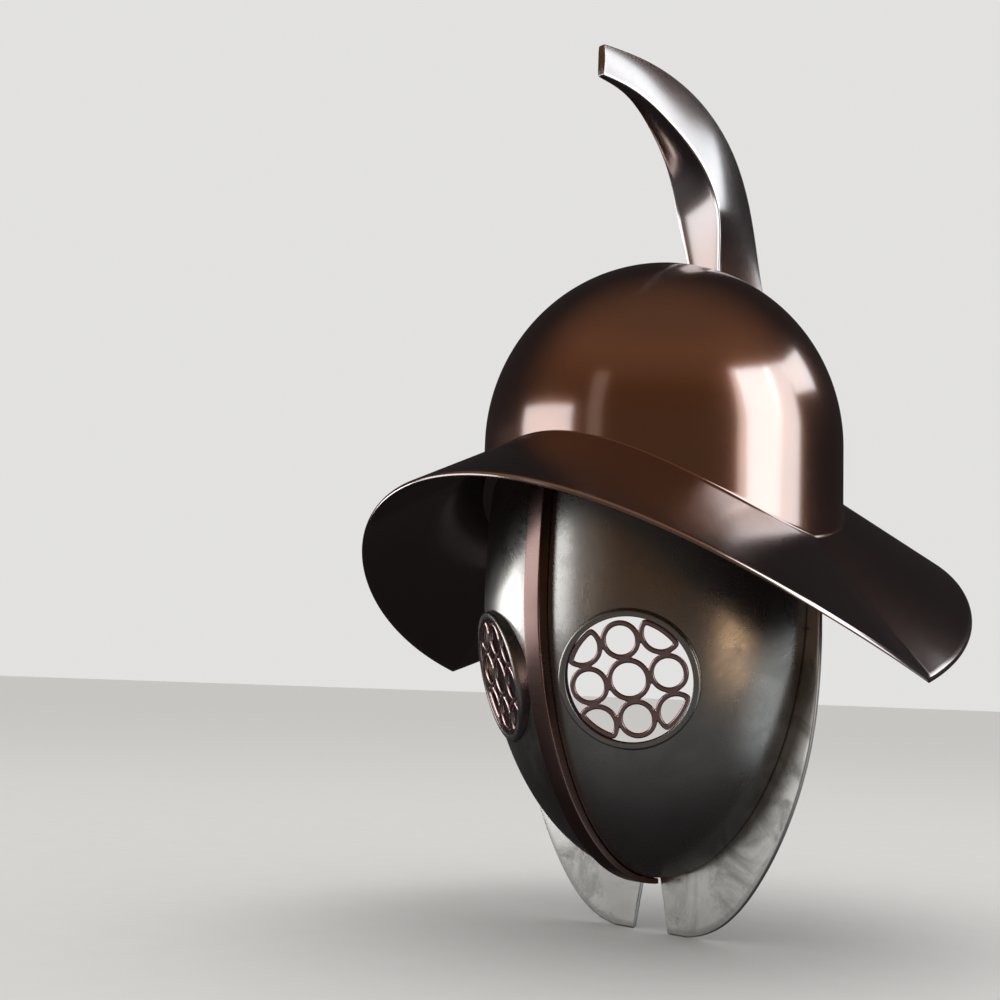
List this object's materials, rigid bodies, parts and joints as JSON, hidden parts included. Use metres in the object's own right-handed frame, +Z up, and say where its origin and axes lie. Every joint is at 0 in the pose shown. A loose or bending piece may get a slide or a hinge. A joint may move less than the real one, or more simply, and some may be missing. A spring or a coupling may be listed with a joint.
{
  "type": "visored gladiator helmet",
  "caption": "Closed helmet with a domed bowl, drooping broad brim, forward-curling horn crest and an egg-shaped visor with ringed eye grilles.",
  "frame": {"origin": "middle of the bowl, at the height where its dome meets its upright wall, where the helmet grips the wearer's head", "axes": "+Z up as worn, the helmet faces -Y, the wearer's left is +X"},
  "size_m": [0.37, 0.387, 0.549],
  "materials": {
    "copper_alloy": "polished copper alloy, darkened, with fine wipe marks",
    "copper_rib": "dull polished copper alloy",
    "visor_steel": "planished steel, dark, softly streaked upright",
    "flange_steel": "bright satin steel with faint stains and scratches",
    "ring_steel": "turned steel",
    "grille_copper": "cast copper alloy, rubbed bright on its edges"
  },
  "bodies": {
    "root": {"bowl": "copper_alloy", "brim": "copper_alloy", "crest": "copper_alloy", "centre_rib": "copper_rib", "visor_left": "visor_steel", "visor_right": "visor_steel", "flange_left": "flange_steel", "flange_right": "flange_steel", "eye_ring_left": "ring_steel", "eye_ring_right": "ring_steel", "eye_grille_left": "grille_copper", "eye_grille_right": "grille_copper"}
  },
  "joints": []
}
